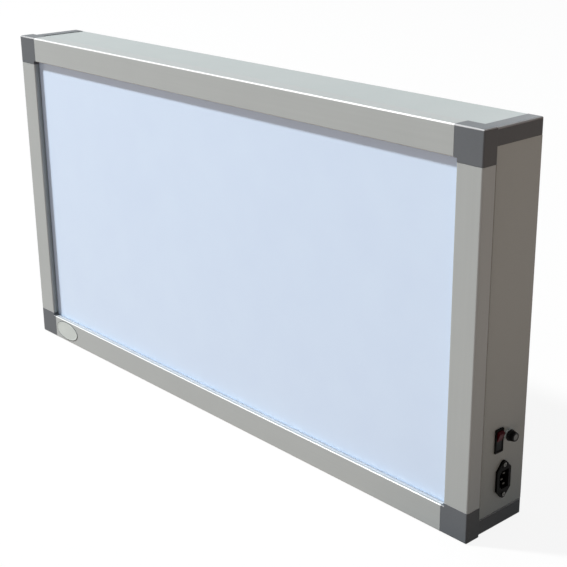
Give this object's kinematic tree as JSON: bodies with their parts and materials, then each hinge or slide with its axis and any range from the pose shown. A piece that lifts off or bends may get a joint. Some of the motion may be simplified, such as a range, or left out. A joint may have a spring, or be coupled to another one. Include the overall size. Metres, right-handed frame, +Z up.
{
  "type": "x-ray film viewer",
  "caption": "Wide lit box for viewing x-ray films: an opal screen in an aluminium frame with moulded corners, a film grip under the top bar, and a switch, dimmer and mains inlet on one side.",
  "frame": {"origin": "middle of the footprint, on the surface that the viewer stands on", "axes": "+X along the viewer towards the side with the controls, the screen faces -Y, +Z up"},
  "size_m": [0.9539, 0.1074, 0.504],
  "materials": {
    "bar_aluminium": "satin anodised extrusion",
    "corner_plastic": "moulded ABS, fine grain",
    "case_paint": "powder coat on sheet steel",
    "opal_acrylic": "opal acrylic sheet",
    "foam": "closed-cell foam strip",
    "tray_white": "white coated sheet",
    "led_board": "white solder mask on metal-core board",
    "led_chip": "phosphor in a white cup",
    "steel": "zinc-plated steel",
    "badge_foil": "blank satin foil plate",
    "black_plastic": "moulded black thermoplastic",
    "red_plastic": "moulded red thermoplastic",
    "contact_brass": "plated brass",
    "shaft_aluminium": "turned",
    "knob_plastic": "moulded black thermoplastic",
    "driver_shell": "folded sheet",
    "board_green": "printed circuit board",
    "wire_brown": "PVC insulation",
    "wire_blue": "PVC insulation",
    "wire_earth": "PVC insulation",
    "wire_black": "PVC insulation",
    "foot_rubber": "soft rubber"
  },
  "bodies": {
    "case": {"bezel_bar_top": "bar_aluminium", "bezel_bar_bottom": "bar_aluminium", "bezel_bar_left": "bar_aluminium", "bezel_bar_right": "bar_aluminium", "corner_top_left": "corner_plastic", "corner_top_right": "corner_plastic", "corner_bottom_left": "corner_plastic", "corner_bottom_right": "corner_plastic", "top_panel": "case_paint", "bottom_panel": "case_paint", "left_panel": "case_paint", "right_panel": "case_paint", "back_panel": "case_paint", "back_panel_screws": "steel", "rear_feet": "foot_rubber", "diffuser_panel": "opal_acrylic", "diffuser_gasket": "foam", "reflector_tray": "tray_white", "tray_screws": "steel", "led_bar_1": "led_board", "led_bar_2": "led_board", "led_bar_3": "led_board", "led_bar_4": "led_board", "led_bar_5": "led_board", "led_chips": "led_chip", "led_bar_screws": "steel", "film_ramp": "corner_plastic", "roller_stops": "corner_plastic", "badge_plate": "badge_foil", "inlet_housing": "black_plastic", "inlet_pins": "contact_brass", "inlet_screws": "steel", "inlet_nuts": "steel", "switch_housing": "black_plastic", "switch_terminals": "contact_brass", "potentiometer": "steel", "dimmer_washer": "steel", "dimmer_nut": "steel", "driver_case": "driver_shell", "driver_board": "board_green", "driver_screws": "steel", "earth_stud": "contact_brass", "live_wire": "wire_brown", "switched_wire": "wire_brown", "neutral_wire": "wire_blue", "earth_wire": "wire_earth", "dimmer_wire": "wire_black", "led_wire": "wire_black"},
    "rocker": {"switch_rocker": "red_plastic"},
    "dimmer": {"dimmer_shaft": "shaft_aluminium", "dimmer_knob": "knob_plastic", "knob_cap": "shaft_aluminium"},
    "roller_1": {"film_roller_1": "steel"},
    "roller_2": {"film_roller_2": "steel"},
    "roller_3": {"film_roller_3": "steel"},
    "roller_4": {"film_roller_4": "steel"},
    "roller_5": {"film_roller_5": "steel"},
    "roller_6": {"film_roller_6": "steel"}
  },
  "joints": [
    {"name": "rocker_press", "type": "hinge", "parent": "case", "child": "rocker", "pos_m": [0.4685, 0.0025, 0.119], "axis": [0, 1, 0], "range_deg": [-22, 0]},
    {"name": "dimmer_turn", "type": "hinge", "parent": "case", "child": "dimmer", "pos_m": [0.4695, 0.02, 0.1215], "axis": [1, 0, 0], "range_deg": [-150, 150]},
    {"name": "roller_1_lift", "type": "slide", "parent": "case", "child": "roller_1", "axis": [0, -0.225, 0.9744], "range_m": [0, 0.0035]},
    {"name": "roller_2_lift", "type": "slide", "parent": "case", "child": "roller_2", "axis": [0, -0.225, 0.9744], "range_m": [0, 0.0035]},
    {"name": "roller_3_lift", "type": "slide", "parent": "case", "child": "roller_3", "axis": [0, -0.225, 0.9744], "range_m": [0, 0.0035]},
    {"name": "roller_4_lift", "type": "slide", "parent": "case", "child": "roller_4", "axis": [0, -0.225, 0.9744], "range_m": [0, 0.0035]},
    {"name": "roller_5_lift", "type": "slide", "parent": "case", "child": "roller_5", "axis": [0, -0.225, 0.9744], "range_m": [0, 0.0035]},
    {"name": "roller_6_lift", "type": "slide", "parent": "case", "child": "roller_6", "axis": [0, -0.225, 0.9744], "range_m": [0, 0.0035]}
  ]
}
